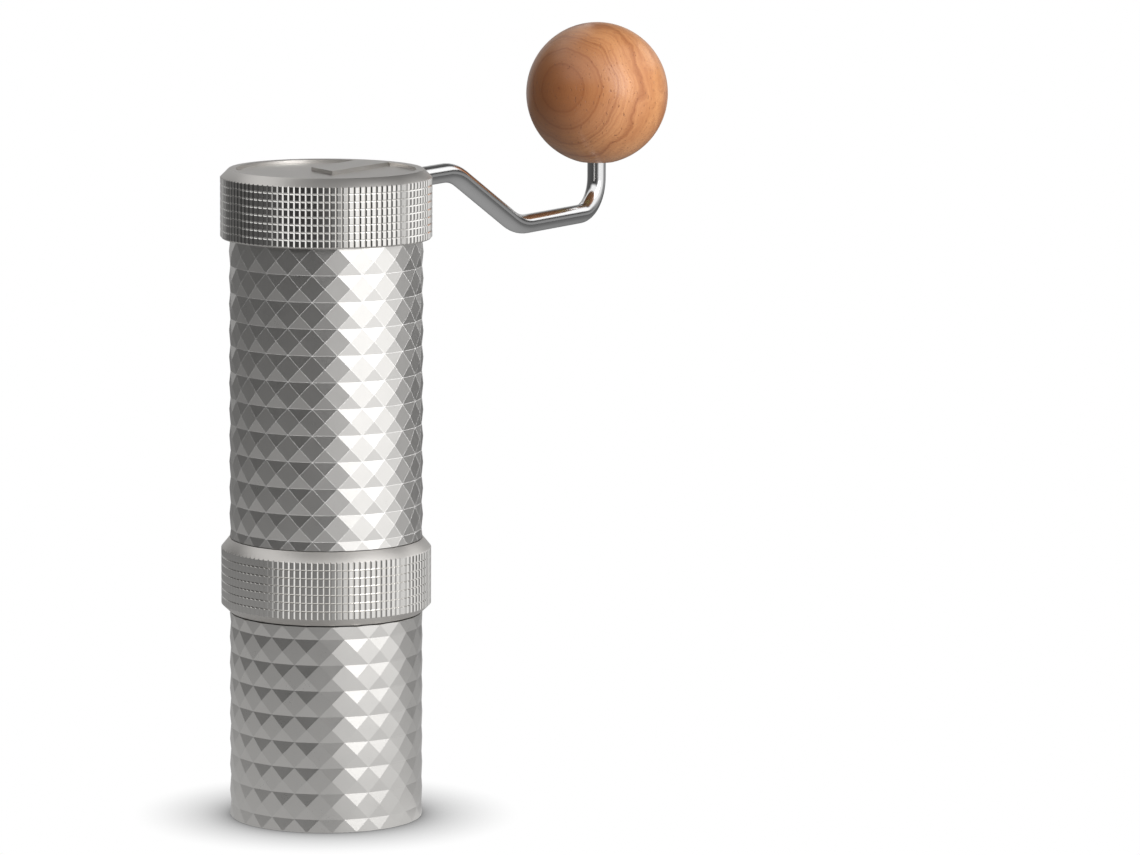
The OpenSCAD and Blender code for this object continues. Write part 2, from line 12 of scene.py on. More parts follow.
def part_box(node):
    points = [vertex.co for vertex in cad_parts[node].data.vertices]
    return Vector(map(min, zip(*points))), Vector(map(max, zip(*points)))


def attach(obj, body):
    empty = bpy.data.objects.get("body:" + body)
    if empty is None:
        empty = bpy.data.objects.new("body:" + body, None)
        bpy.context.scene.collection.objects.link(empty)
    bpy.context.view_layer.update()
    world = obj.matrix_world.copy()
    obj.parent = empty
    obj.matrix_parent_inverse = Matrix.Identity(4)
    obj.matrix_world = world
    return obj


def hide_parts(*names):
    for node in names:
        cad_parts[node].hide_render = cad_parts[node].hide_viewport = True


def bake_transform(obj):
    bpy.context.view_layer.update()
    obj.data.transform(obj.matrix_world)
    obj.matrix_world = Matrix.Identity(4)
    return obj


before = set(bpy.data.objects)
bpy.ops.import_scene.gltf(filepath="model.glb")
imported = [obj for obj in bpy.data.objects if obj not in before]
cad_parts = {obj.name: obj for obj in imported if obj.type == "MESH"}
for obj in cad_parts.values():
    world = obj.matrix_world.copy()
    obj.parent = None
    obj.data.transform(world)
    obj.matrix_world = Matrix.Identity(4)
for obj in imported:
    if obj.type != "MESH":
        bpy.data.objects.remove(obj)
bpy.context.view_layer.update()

scene = bpy.context.scene
MM = 0.001


def box_mm(node):
    """Lowest and highest corner of a CAD node at rest, in millimetres."""
    low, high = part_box(node)
    return low / MM, high / MM


# ---------------------------------------------------------------- sizes, in millimetres

# Facets of the cup and of the hopper tube, as the CAD model has them. FACET_EDGE is the width of
# the bevel along each edge, whose lighter finish is a painted highlight line there
FACET_R = 25.25
FACET_COUNT = 24
FACET_STEP = 2 * pi / FACET_COUNT
CUP_ROWS = 8
CUP_PHASE = radians(13.3)
TUBE_PHASE = radians(9.2)
TUBE_HALF_ROWS = 23
TUBE_HALF_ROW_H = 3.45
TUBE_FIRST_PEAK_Z = 72.8
FACET_EDGE = 0.26

# Knurled pads: a pad's share of the pitch, the depth of the upright grooves, and for the lid and
# the grind ring the number of rows with the gap between them and its depth
KNURL_COLUMNS = 112
PAD_SHARE = 0.56
COLUMN_DEPTH = 0.26
LID_ROWS = (8, 0.54, 0.2)
RING_ROWS = (7, 0.42, 0.25)

# Rib along the arm in the lid's top. RIB_BACK is where its slanted inner end meets its two sides
RIB_HALF_W = 5
RIB_END_R = 23.2
RIB_BACK = (-5, 0.7)

# Gap round the rib and the rod, where they go through the lid
FIT_GAP = 0.05

# Widths of the rounded edges of the pieces kept from CAD
HUB_EDGE = 0.35
SMALL_EDGE = 0.12

# Crank rod, in the plane of the arm
ROD_R = 2.6
ROD_Z = 164.0
ROD_LOW_Z = 146.3
ROD_START = -7.0
DROP_START = 62.8
DROP_END = 96.9
BEND_R = 20.0
RISE_BEND_R = 9.5

CUP_H = box_mm("cup_shell")[1].z
RING_LOW, RING_HIGH = box_mm("adjust_ring")
LID_LOW, LID_HIGH = box_mm("lid_cap")
TUBE_LOW, TUBE_HIGH = box_mm("hopper_tube")
BALL_LOW, BALL_HIGH = box_mm("knob_ball")
BALL_R = (BALL_HIGH.y - BALL_LOW.y) / 2
BALL_CENTRE = Vector(((BALL_LOW.x + BALL_HIGH.x) / 2, 0, BALL_HIGH.z - BALL_R))
REACH = BALL_CENTRE.x

# Camera, measured from the shaft's axis
CAMERA_AZIMUTH = radians(-57.5)
CAMERA_DISTANCE = 1556
CAMERA_HEIGHT = 331
AIM_RIGHT = 63.56
AIM_HEIGHT = 102.47
CAMERA_ROLL = 0.00593
LENS = 190.42

# Stage
FLOOR_R = 1200
LIGHTS_AIM_Z = 100

to_camera = Vector((sin(CAMERA_AZIMUTH), -cos(CAMERA_AZIMUTH), 0))
camera_right = Vector((cos(CAMERA_AZIMUTH), sin(CAMERA_AZIMUTH), 0))
up = Vector((0, 0, 1))


# ---------------------------------------------------------------- mesh helpers

def make_mesh(name, vertices, faces, crease=30):
    """Object with these millimetre vertices, smooth except across edges sharper than crease degrees."""
    mesh = bpy.data.meshes.new(name)
    mesh.from_pydata([MM * Vector(v) for v in vertices], [], faces)
    shape = bmesh.new()
    shape.from_mesh(mesh)
    bmesh.ops.remove_doubles(shape, verts=shape.verts, dist=1e-7)
    bmesh.ops.dissolve_degenerate(shape, edges=shape.edges, dist=1e-8)
    bmesh.ops.recalc_face_normals(shape, faces=shape.faces)
    shape.to_mesh(mesh)
    shape.free()
    piece = bpy.data.objects.new(name, mesh)
    scene.collection.objects.link(piece)
    shade(piece, crease)
    return piece


def shade(piece, crease):
    """Smooth shading, except across edges sharper than crease degrees."""
    piece.data.shade_smooth()
    piece.data.set_sharp_from_angle(angle=radians(crease))


def finish_piece(piece, materials, body, slot, *nodes):
    """Gives a new piece its materials, puts it on its body and hides the nodes it stands for. slot is not
    used.
    """
    for material in materials:
        piece.data.materials.append(material)
    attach(piece, body)
    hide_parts(*nodes)
    return piece


def soften(piece, width, angle=30, segments=2, finish=-1):
    """Rounds edges sharper than angle degrees, width in millimetres. finish is the index of the
    material that the rounded edges get."""
    bevel = piece.modifiers.new("soft_edges", "BEVEL")
    bevel.width = width * MM
    bevel.segments = segments
    bevel.limit_method = "ANGLE"
    bevel.material = finish
    bevel.angle_limit = radians(angle)
    bevel.harden_normals = True


def combine(piece, tool, operation, crease=30):
    """Boolean of a piece with a tool object, which is then removed."""
    cut = piece.modifiers.new("cut", "BOOLEAN")
    cut.operation = operation
    cut.solver = "EXACT"
    cut.object = tool
    graph = bpy.context.evaluated_depsgraph_get()
    mesh = bpy.data.meshes.new_from_object(piece.evaluated_get(graph))
    piece.modifiers.clear()
    piece.data = mesh
    bpy.data.objects.remove(tool)
    shade(piece, crease)


def lathe(rings, segments, centre=(0, 0)):
    """Vertices and faces of a closed outline turned about Z. A ring is a list of (r, z), repeated round."""
    vertices, faces = [], []
    for ring in rings:
        for s in range(segments):
            r, z = ring[s % len(ring)]
            angle = 2 * pi * s / segments
            vertices.append((centre[0] + r * cos(angle), centre[1] + r * sin(angle), z))
    for k in range(len(rings)):
        a, b = k * segments, (k + 1) % len(rings) * segments
        for s in range(segments):
            t = (s + 1) % segments
            faces.append((a + s, a + t, b + t, b + s))
    return vertices, faces


def turned(name, outline, segments=128):
    """Turned solid from a closed outline of (r, z) points."""
    return make_mesh(name, *lathe([[p] for p in outline], segments))


def rod_faces(rings, sides):
    """Faces round a rod between its rings, and over its two ends."""
    last = (rings - 1) * sides
    faces = [list(range(sides)), list(range(last, last + sides))]
    for a in range(0, last, sides):
        for s in range(sides):
            t = (s + 1) % sides
            faces.append((a + s, a + t, a + sides + t, a + sides + s))
    return faces


# ---------------------------------------------------------------- faceted shells

def facet_corner(i, level, bottom_z, half_h, phase):
    """Corner i of a level: peaks on even levels, valleys on the chord between them on odd ones."""
    peak = level % 2 == 0
    r = FACET_R if peak else FACET_R * cos(FACET_STEP / 2)
    angle = phase + (i + (0.5 if peak else 0)) * FACET_STEP
    return r * cos(angle), r * sin(angle), bottom_z + level * half_h


def faceted_column(name, bottom_z, half_h, half_rows, phase):
    """Solid column whose sides are flat diamonds with triangles between them."""
    n = FACET_COUNT
    levels = range(half_rows + 1)
    vertices = [facet_corner(i, j, bottom_z, half_h, phase) for j in levels for i in range(n)]

    def at(i, level):
        return level * n + i % n

    faces = [[at(i, 0) for i in reversed(range(n))], [at(i, half_rows) for i in range(n)]]
    for j in levels:
        for i in range(n):
            above, below = j < half_rows, j > 0
            if j % 2 == 0:
                diamond = [at(i - 1, j), at(i, j - 1) if below else None,
                           at(i, j), at(i, j + 1) if above else None]
                faces.append([corner for corner in diamond if corner is not None])
                continue
            if below:
                faces.append([at(i, j - 1), at(i + 1, j), at(i, j)])
            if above:
                faces.append([at(i, j), at(i + 1, j), at(i, j + 1)])
    return make_mesh(name, vertices, faces, crease=3)


def cup_piece(metal, edge_highlight_metal):
    """Faceted cup with its two ends chamfered, hollow above the floor and wider at its mouth."""
    end_r, clear_r = 25.05, 25.5
    floor_z, floor_r, bore_r = 3, 21.8, 22.8
    mouth_z, mouth_r = CUP_H - 1.3, 23.6
    beyond = CUP_H + 1
    cup = faceted_column("faceted_cup", 0, CUP_H / CUP_ROWS / 2, 2 * CUP_ROWS, CUP_PHASE)
    ends = turned("ends", [(0, -1), (end_r, -1), (end_r, 0), (clear_r, 0.5), (clear_r, CUP_H - 0.35),
                           (end_r, CUP_H), (end_r, beyond), (0, beyond)])
    combine(cup, ends, "INTERSECT", crease=3)
    hollow = turned("hollow", [(0, floor_z), (floor_r, floor_z), (bore_r, floor_z + 1),
                               (bore_r, mouth_z), (mouth_r, mouth_z), (mouth_r, beyond),
                               (0, beyond)])
    combine(cup, hollow, "DIFFERENCE", crease=3)
    # The rounded edges get the second material, a painted highlight line along each facet edge
    soften(cup, FACET_EDGE, angle=5, segments=1, finish=1)
    return finish_piece(cup, [metal, edge_highlight_metal], "cup", "shell", "cup_shell")


def tube_piece(metal, edge_highlight_metal):
    """Faceted tube, cut level below, with a plain neck above that has the lid seal's groove. The
    bore widens for the frame's spigot below, and for the upper bracket and its snap ring above."""
    low, high = TUBE_LOW.z, TUBE_HIGH.z
    neck_z = TUBE_FIRST_PEAK_Z + TUBE_HALF_ROWS * TUBE_HALF_ROW_H - 1
    neck_r, seal_r = 24.6, 23.6
    seal_low, seal_high = 157.3, 158.7
    clear_r, spigot_r, spigot_top = 26, 23.3, 86
    bore_r, upper_r, upper_z = 22.5, 23, 143
    snap_r, snap_low, snap_high = 23.6, 151, 152.2
    tube = faceted_column("faceted_hopper_tube", TUBE_FIRST_PEAK_Z, TUBE_HALF_ROW_H,
                          TUBE_HALF_ROWS, TUBE_PHASE)
    below = turned("below", [(0, low - 3), (clear_r, low - 3), (clear_r, low), (0, low)])
    combine(tube, below, "DIFFERENCE", crease=3)
    neck = turned("neck", [(0, neck_z), (neck_r, neck_z), (neck_r, seal_low), (seal_r, seal_low),
                           (seal_r, seal_high), (neck_r, seal_high), (neck_r, high - 0.4),
                           (neck_r - 0.4, high), (0, high)])
    combine(tube, neck, "UNION", crease=3)
    hollow = turned("hollow", [(0, low - 1), (spigot_r, low - 1), (spigot_r, spigot_top),
                               (bore_r, spigot_top), (bore_r, upper_z), (upper_r, upper_z),
                               (upper_r, snap_low), (snap_r, snap_low), (snap_r, snap_high),
                               (upper_r, snap_high), (upper_r, high + 1), (0, high + 1)])
    combine(tube, hollow, "DIFFERENCE", crease=3)
    # The rounded edges get the second material, a painted highlight line along each facet edge
    soften(tube, FACET_EDGE, angle=5, segments=1, finish=1)
    return finish_piece(tube, [metal, edge_highlight_metal], "root", "shell", "hopper_tube")


# ---------------------------------------------------------------- knurled rings

def groove_stations(row_depth):
    """Round one pad and its groove: (share of the pitch, depth). The grooves between rows end on
    the side walls of the upright grooves, at the third and fifth stations."""
    wall = (1 - PAD_SHARE) / 2
    meet = wall * row_depth / COLUMN_DEPTH
    return [(0, 0), (PAD_SHARE, 0), (PAD_SHARE + meet, row_depth), (PAD_SHARE + wall, COLUMN_DEPTH),
            (1 - meet, row_depth)]


def knurl_rings(r, z, top_z, row_shape, bottom_slope, top_slope):
    """Rings of a band of knurl pads. The end slopes say how far up or down a chamfer, per
    millimetre of depth, the upright grooves run out."""
    rows, gap, row_depth = row_shape
    pad_h = (top_z - z + gap) / rows - gap
    depths = [depth for _, depth in groove_stations(row_depth)]
    rings = []
    for k in range(rows):
        low = z + k * (pad_h + gap)
        high = low + pad_h
        drop = bottom_slope if k == 0 else 0
        rise = top_slope if k == rows - 1 else 0
        rings.append([(r - d, low - drop * d) for d in depths])
        rings.append([(r - d, high + rise * d) for d in depths])
        if k < rows - 1:
            rings.append([(r - max(d, row_depth), high + gap / 2) for d in depths])
    return rings


def knurled(name, below, knurl, above, row_shape, plain_metal, knurl_metal):
    """Turned piece with a knurled band between two plain stretches of outline. It already has its
    two metals, so that later cuts keep them apart."""
    stations = groove_stations(row_shape[2])
    columns = len(stations) * KNURL_COLUMNS
    rings = [[p] for p in below] + knurl + [[p] for p in above]
    vertices, faces = lathe(rings, columns)
    for index, (x, y, z) in enumerate(vertices):
        column, station = divmod(index % columns, len(stations))
        angle = 2 * pi * (column + stations[station][0]) / KNURL_COLUMNS
        vertices[index] = (hypot(x, y) * cos(angle), hypot(x, y) * sin(angle), z)
    piece = make_mesh(name, vertices, [part for face in faces for part in mitred(face, vertices)], 20)
    piece.data.materials.append(plain_metal)
    piece.data.materials.append(knurl_metal)
    low, high = knurl[0][0][1], knurl[-1][0][1]
    for face in piece.data.polygons:
        outside = hypot(face.center.x, face.center.y) / MM > knurl[0][0][0] - 1
        face.material_index = int(outside and low < face.center.z / MM < high)
    return piece


def mitred(face, vertices):
    """A face with one corner that stands out is cut in two through that corner."""
    radii = [hypot(*vertices[v][:2]) for v in face]
    high = max(radii)
    if sum(high - r < 0.01 for r in radii) > 1 or high - min(radii) < 0.01:
        return [face]
    k = radii.index(high)
    a, b, c, d = (face[(k + step) % 4] for step in range(4))
    return [(a, b, c), (a, c, d)]


def lid_piece(plain_metal, knurl_metal):
    """Lid with a sunken top, a slot in it for the rib and a hole in its side for the rod."""
    z, top_z, r = LID_LOW.z, LID_HIGH.z, LID_HIGH.x
    floor_z, floor_t = top_z - 1, 2
    rim_r, bore_r, step_z = 23.3, 24.9, 161
    chamfer, top_chamfer = 0.45, 2.2
    hole_start, hole_end = 21, 30
    knurl = knurl_rings(r, z + chamfer, top_z - top_chamfer, LID_ROWS, 1, 1)
    below = [(rim_r, floor_z - floor_t), (rim_r, step_z + 0.1), (rim_r + 0.1, step_z),
             (bore_r, step_z), (bore_r, z + 0.3), (bore_r + 0.3, z), (r - 0.4, z)]
    above = [(r - 2.1, top_z - 0.1), (r - 2.3, top_z), (rim_r + 0.15, top_z),
             (rim_r, top_z - 0.12), (rim_r, floor_z + 0.1), (rim_r - 0.1, floor_z),
             (12, floor_z), (0, floor_z), (0, floor_z - floor_t)]
    lid = knurled("knurled_lid", below, knurl, above, LID_ROWS, plain_metal, knurl_metal)
    slot = prism("slot", rib_outline(FIT_GAP), floor_z - 2 * floor_t, floor_z + 0.5)
    combine(lid, slot, "DIFFERENCE", crease=25)
    arm_hole = level_rod("arm_hole", ROD_R + FIT_GAP, hole_start, hole_end, ROD_Z)
    combine(lid, arm_hole, "DIFFERENCE", crease=25)
    return finish_piece(lid, [], "crank", "shell", "lid_cap")


def rib_outline(gap):
    """Outline of the rib along the arm: a slanted inner end, and an outer end on the rim's radius."""
    side_y, end_r, half_steps = RIB_HALF_W + gap, RIB_END_R + gap, 6
    half = atan2(side_y, sqrt(end_r ** 2 - side_y ** 2))
    angles = [half * (k / half_steps - 1) for k in range(2 * half_steps + 1)]
    arc = [(end_r * cos(a), end_r * sin(a)) for a in angles]
    return [(RIB_BACK[0] - gap, -side_y)] + arc + [(RIB_BACK[1] - gap, side_y)]


def prism(name, outline, low_z, high_z):
    """Upright solid over an outline of (x, y) points."""
    vertices = [(x, y, z) for z in (low_z, high_z) for x, y in outline]
    return make_mesh(name, vertices, rod_faces(2, len(outline)))


def level_rod(name, r, from_x, to_x, z, sides=48):
    """Cylinder along X, with its axis at height z."""
    vertices = [(x, r * cos(2 * pi * s / sides), z + r * sin(2 * pi * s / sides))
                for x in (from_x, to_x) for s in range(sides)]
    return make_mesh(name, vertices, rod_faces(2, sides))


def ring_piece(plain_metal, knurl_metal):
    """Grind ring with a lip at its foot and, inside, the groove that leads the guide pins."""
    z, top_z, r = RING_LOW.z, RING_HIGH.z, RING_HIGH.x
    knurl_low, knurl_high = 56.5, 71.1
    bore_r, lip_r, lip_top = 24.05, 22.6, 56.95
    groove_r, groove_low, groove_high = 25.55, 60.3, 66.7
    knurl = knurl_rings(r, knurl_low, knurl_high, RING_ROWS, 0.95, 1.26)
    below = [(groove_r, groove_high), (groove_r, groove_low), (bore_r, groove_low),
             (bore_r, lip_top), (lip_r, lip_top), (lip_r, z), (25.05, z), (25.25, z + 0.08)]
    above = [(25.35, top_z - 0.1), (25.2, top_z), (bore_r, top_z), (bore_r, groove_high)]
    ring = knurled("knurled_grind_ring", below, knurl, above, RING_ROWS, plain_metal, knurl_metal)
    return finish_piece(ring, [], "grind_ring", "shell", "adjust_ring")


# ---------------------------------------------------------------- crank and knob

def crank_path():
    """Points of the rod's centreline in the arm's plane: (x, z, direction in radians)."""
    slope = atan2(ROD_Z - ROD_LOW_Z, DROP_END - DROP_START)
    setback = BEND_R * tan(slope / 2)
    path = [(ROD_START, ROD_Z, 0)]
    path += arc_points((DROP_START - setback, ROD_Z - BEND_R), BEND_R, 0, -slope)
    path += arc_points((DROP_END + setback, ROD_LOW_Z + BEND_R), BEND_R, -slope, 0)
    path += arc_points((REACH - RISE_BEND_R, ROD_LOW_Z + RISE_BEND_R), RISE_BEND_R, 0, pi / 2)
    return path


def arc_points(centre, r, from_direction, to_direction):
    """Arc of the path that turns from one direction to another, round a centre."""
    steps = ceil(abs(degrees(to_direction - from_direction)) / 4)
    side = 1 if to_direction > from_direction else -1
    points = []
    for k in range(steps + 1):
        d = from_direction + (to_direction - from_direction) * k / steps
        points.append((centre[0] + side * r * sin(d), centre[1] - side * r * cos(d), d))
    return points


def crank_piece(material):
    """Bent rod, with the knob clip's groove and a chamfer at its upper end."""
    sides, cut, groove_h = 64, 0.4, 0.9
    end_z = box_mm("crank_arm")[1].z
    clip_z = box_mm("knob_clip")[0].z
    rings = [(*p, ROD_R) for p in crank_path()]
    for z, r in ((clip_z, ROD_R), (clip_z, ROD_R - cut), (clip_z + groove_h, ROD_R - cut),
                 (clip_z + groove_h, ROD_R), (end_z - cut, ROD_R), (end_z, ROD_R - cut)):
        rings.append((REACH, z, pi / 2, r))
    vertices = []
    for x, z, d, r in rings:
        for s in range(sides):
            a = 2 * pi * s / sides
            out = r * cos(a)
            vertices.append((x - out * sin(d), r * sin(a), z + out * cos(d)))
    rod = make_mesh("crank_rod", vertices, rod_faces(len(rings), sides))
    return finish_piece(rod, [material], "crank", "polished_steel", "crank_arm")


def ball_piece(material):
    """Turned wooden ball with a blind bore for the bushing."""
    bore_r, lip, lip_h, steps = 4.5, 0.5, 0.45, 72
    bore_top = BALL_CENTRE.z + 9.7
    lowest = -pi / 2 + (bore_r + lip) / BALL_R
    outline = [(bore_r, BALL_CENTRE.z + BALL_R * sin(lowest) + lip_h)]
    for k in range(steps + 1):
        a = lowest + (pi / 2 - lowest) * k / steps
        outline.append((BALL_R * cos(a) if k < steps else 0, BALL_CENTRE.z + BALL_R * sin(a)))
    outline += [(0, bore_top), (bore_r, bore_top)]
    rings = [[p] for p in outline]
    ball = make_mesh("wooden_ball", *lathe(rings, 128, (REACH, 0)), 40)
    return finish_piece(ball, [material], "knob", "beech", "knob_ball")


# ---------------------------------------------------------------- burrs and their spring

def spring_piece(material):
    """Open coil that presses the burr carrier down."""
    low, high = box_mm("preload_spring")
    wire_r, turns, steps, sides = 0.7, 3, 72, 16
    coil_r = high.x - wire_r
    rings = turns * steps + 1
    rise = (high.z - low.z - 2 * wire_r) / (rings - 1)
    vertices = []
    for k in range(rings):
        a = 2 * pi * k / steps
        for s in range(sides):
            t = 2 * pi * s / sides
            r = coil_r + wire_r * cos(t)
            vertices.append((r * cos(a), r * sin(a), low.z + wire_r + k * rise + wire_r * sin(t)))
    spring = make_mesh("carrier_spring", vertices, rod_faces(rings, sides))
    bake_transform(spring)
    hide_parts("preload_spring")
    spring.data.materials.append(material)
    return spring


def saw(turns):
    """Saw tooth from 0 to 1 over one turn, which drops at once."""
    return turns % 1.0


def outer_burr_piece(material):
    """Ring burr: twenty leaning saw teeth inside, two turned grooves outside."""
    low, high = (v.z for v in box_mm("outer_burr"))
    r = box_mm("outer_burr")[1].y
    teeth, stations, lean_per_mm = 20, 200, 0.035
    groove_r = r - 0.7
    outside = [(r - 0.5, low), (r, low + 0.5)]
    for z in (low + 4.4, low + 10):
        outside += [(r, z), (groove_r, z + 0.1), (groove_r, z + 0.9), (r, z + 1)]
    outside += [(r, high - 1), (r - 1, high)]
    rings = [[p] * stations for p in outside]
    # Levels of the bore, from the top down: (z, radius of the crests, depth of the teeth)
    bore = [(high, 14.9, 1.5), (high - 1.5, 14.2, 1.6), (high - 4, 13.5, 1.5), (low + 9, 13.2, 1.2),
            (low + 7, 13.2, 0.8), (low + 4, 14.15, 0.7), (low + 1.5, 15.0, 0.7), (low, 15.6, 0.6)]
    for z, inner_r, depth in bore:
        lean = (high - z) * lean_per_mm
        rings.append([(inner_r + depth * saw(teeth * s / stations + teeth * lean / (2 * pi)), z)
                      for s in range(stations)])
    burr = make_mesh("toothed_outer_burr", *lathe(rings, stations), 24)
    return finish_piece(burr, [material], "carrier", "burr_steel", "outer_burr")


def core_burr_piece(material):
    """Core burr: a five-lobed crown whose blades wind down into a ring of fine teeth."""
    low, high = (v.z for v in box_mm("core_burr"))
    blades, fine_teeth, stations = 5, 35, 280
    crest_at, twist_per_mm, bore_r = 0.72, 0.075, 4.02
    # Levels from the bottom up: (z, radius, reach of the blades, depth of the fine teeth)
    levels = [(low, 13.8, 0, 0.7), (low + 0.8, 13.9, 0, 0.8), (low + 3, 13.1, 0, 0.9),
              (low + 5.5, 11.8, 0, 0.9), (low + 7, 10.6, 0.8, 0.5), (low + 8.5, 9.0, 2.1, 0.15),
              (low + 10.5, 7.6, 3.0, 0), (low + 12.5, 6.6, 3.2, 0), (low + 14.5, 6.0, 3.0, 0),
              (low + 16, 5.8, 2.6, 0), (high - 0.25, 5.7, 2.45, 0), (high, 5.6, 2.3, 0)]
    rings = []
    for z, r, blade, tooth in levels:
        turn = (high - z) * twist_per_mm
        ring = []
        for s in range(stations):
            at = s / stations
            lobe = saw(blades * (at + turn / (2 * pi)))
            crest = min(lobe / crest_at, (1 - lobe) / (1 - crest_at))
            ring.append((r + blade * crest ** 1.6 + tooth * saw(fine_teeth * (at + turn / 9)), z))
        rings.append(ring)
    rings += [[(bore_r + 0.3, high)], [(bore_r, high - 0.3)], [(bore_r, low)]]
    burr = make_mesh("bladed_core_burr", *lathe(rings, stations), 24)
    return finish_piece(burr, [material], "drive", "burr_steel", "core_burr")


# ---------------------------------------------------------------- material helpers

class Nodes:
    """Short way to add linked shader nodes to one tree. Each material calls its own one n."""

    def __init__(self, tree):
        self.tree = tree
        tree.nodes.clear()

    def add(self, kind, inputs=None, **settings):
        """New node. Its inputs are values or other nodes' outputs, by socket number or name."""
        node = self.tree.nodes.new("ShaderNode" + kind)
        for key, value in settings.items():
            setattr(node, key, value)
        for socket, value in (inputs or {}).items():
            if isinstance(value, bpy.types.NodeSocket):
                self.tree.links.new(value, node.inputs[socket])
            else:
                node.inputs[socket].default_value = value
        return node

    def math(self, operation, *values):
        return self.add("Math", dict(enumerate(values)), operation=operation).outputs[0]

    def vector(self, operation, *values, out=0):
        node = self.add("VectorMath", dict(enumerate(values)), operation=operation)
        return node.outputs[out]

    def mix(self, share, first, second):
        """Colour between two: sockets 6 and 7 are the mix node's colours, output 2 the result."""
        node = self.add("Mix", {0: share, 6: first, 7: second}, data_type="RGBA")
        return node.outputs[2]

    def ramp(self, value, stops):
        """Colour ramp from (place, grey or colour) stops."""
        node = self.add("ValToRGB", {0: value})
        elements = node.color_ramp.elements
        while len(elements) < len(stops):
            elements.new(0.5)
        for element, (place, colour) in zip(elements, stops):
            element.position = place
            element.color = colour if isinstance(colour, tuple) else (colour, colour, colour, 1)
        return node.outputs[0]

    def noise(self, place, scale, detail=3, roughness=0.5):
        node = self.add("TexNoise", {"Vector": place, "Scale": scale, "Detail": detail,
                                     "Roughness": roughness})
        return node.outputs[0]

    def spread(self, value, low, high):
        """A 0 to 1 value taken to between low and high."""
        node = self.add("MapRange", {0: value, 1: 0.0, 2: 1.0, 3: low, 4: high})
        return node.outputs[0]

    def bump(self, height, distance, normal=None):
        inputs = {"Height": height, "Distance": distance, "Strength": 1.0}
        if normal is not None:
            inputs["Normal"] = normal
        return self.add("Bump", inputs).outputs[0]

    def surface(self, **inputs):
        """Surface of the material. In an input's name, an underscore stands for a space."""
        shader = self.add("BsdfPrincipled", {k.replace("_", " "): v for k, v in inputs.items()})
        self.add("OutputMaterial", {0: shader.outputs[0]})


def new_material(name):
    """Material with an empty node tree, and the helper that fills it."""
    material = bpy.data.materials.new(name)
    material.use_nodes = True
    return material, Nodes(material.node_tree)


def shade_of(colour, factor):
    """A colour made darker or lighter, with its alpha."""
    return (colour[0] * factor, colour[1] * factor, colour[2] * factor, 1)


def blasted_metal(name, colour, low_rough, high_rough, grain=0.006, lines=0.0, metallic=1.0):
    """Satin metal: fine blasted grain, faint clouding and, where lines is set, turning marks."""
    material, n = new_material(name)
    place = n.add("TexCoord").outputs["Object"]
    clouds = n.noise(place, 140, 4, 0.6)
    specks = n.noise(place, 5200, 2, 0.6)
    tint = n.mix(clouds, shade_of(colour, 0.94), shade_of(colour, 1.05))
    tint = n.mix(n.spread(specks, 0, 0.35), tint, shade_of(colour, 0.86))
    rough = n.spread(n.math("ADD", n.math("MULTIPLY", clouds, 0.5), n.math("MULTIPLY", specks, 0.5)),
                     low_rough, high_rough)
    normal = n.bump(specks, grain * MM)
    if lines:
        along = n.add("SeparateXYZ", {0: place}).outputs
        radius = n.vector("LENGTH", n.add("CombineXYZ", {0: along[0], 1: along[1]}).outputs[0], out=1)
        turning = n.noise(n.add("CombineXYZ", {0: radius, 2: along[2]}).outputs[0], 3800, 2, 0.7)
        normal = n.bump(turning, lines * MM, normal=normal)
    n.surface(Base_Color=tint, Metallic=metallic, Roughness=rough, Normal=normal)
    return material


def polished_metal(name, colour, low_rough, high_rough, scratch=0.0015):
    """Bright steel with faint polishing scratches and smudges."""
    material, n = new_material(name)
    place = n.add("TexCoord").outputs["Object"]
    smudge = n.noise(place, 90, 4, 0.55)
    stretched = n.add("Mapping", {"Vector": place, "Scale": (900, 5200, 5200)}).outputs[0]
    marks = n.noise(stretched, 1.0, 2, 0.6)
    tint = n.mix(smudge, shade_of(colour, 0.95), shade_of(colour, 1.03))
    n.surface(Base_Color=tint, Metallic=1.0, Roughness=n.spread(smudge, low_rough, high_rough),
              Normal=n.bump(marks, scratch * MM))
    return material


def burr_metal(name):
    """Hardened, ground steel: bright, with fine grinding lines across the teeth."""
    material, n = new_material(name)
    place = n.add("TexCoord").outputs["Object"]
    clouds = n.noise(place, 300, 3)
    slanted = n.add("Mapping", {"Vector": place, "Rotation": (0.6, 0.3, 0.9),
                                "Scale": (400, 5000, 1200)}).outputs[0]
    marks = n.noise(slanted, 1.0, 3, 0.7)
    tint = n.mix(clouds, (0.5, 0.5, 0.51, 1), (0.72, 0.72, 0.73, 1))
    n.surface(Base_Color=tint, Metallic=1.0, Roughness=n.spread(marks, 0.14, 0.32),
              Normal=n.bump(marks, 0.006 * MM))
    return material


def rubber(name):
    """Black rubber with a little dust."""
    material, n = new_material(name)
    place = n.add("TexCoord").outputs["Object"]
    dust = n.noise(place, 1500, 3)
    tint = n.mix(dust, (0.012, 0.012, 0.013, 1), (0.035, 0.034, 0.033, 1))
    n.surface(Base_Color=tint, Roughness=n.spread(dust, 0.5, 0.75), Normal=n.bump(dust, 0.01 * MM))
    return material


